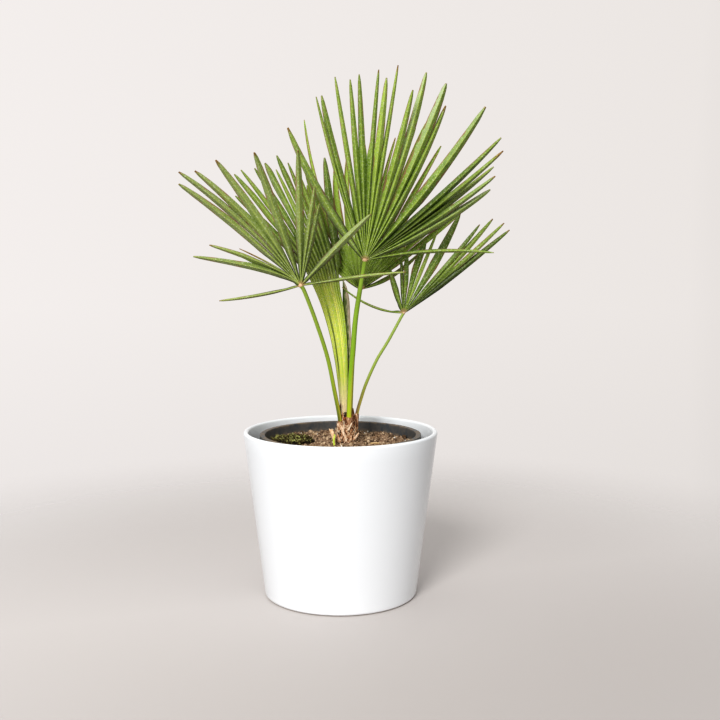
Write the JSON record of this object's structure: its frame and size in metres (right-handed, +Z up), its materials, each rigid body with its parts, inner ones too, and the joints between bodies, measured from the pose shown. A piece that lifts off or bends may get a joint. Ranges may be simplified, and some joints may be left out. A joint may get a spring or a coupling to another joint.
{
  "type": "potted fan palm",
  "caption": "Young fan palm with pleated fronds on slim stalks, in a black nursery pot standing inside a white glazed tapered cover pot.",
  "frame": {"origin": "centre of the cover pot's flat foot", "axes": "+Z up along the pot's axis; -Y is the side that faces the viewer of the picture"},
  "size_m": [0.3165, 0.2188, 0.5272],
  "materials": {
    "cover_glaze": "white gloss glaze",
    "nursery_plastic": "satin black, dusty at the rim",
    "soil": "dry crumbly potting soil",
    "moss": "matt moss",
    "bark": "rough fibrous leaf bases",
    "leaf": "satin green leaf",
    "leaf_left": "satin olive green leaf",
    "leaf_young": "satin yellow-green leaf",
    "spear": "grey scurfy leaf",
    "dry_leaf": "dry tan fibre"
  },
  "bodies": {
    "root": {"cover_pot": "cover_glaze", "nursery_pot": "nursery_plastic", "soil": "soil", "moss": "moss", "trunk": "bark", "frond_front": "leaf", "frond_back": "leaf", "frond_left": "leaf_left", "frond_right": "leaf", "frond_young": "leaf_young", "frond_spear": "spear", "sprout": "leaf_young", "husk": "dry_leaf", "twig": "dry_leaf"}
  },
  "joints": []
}
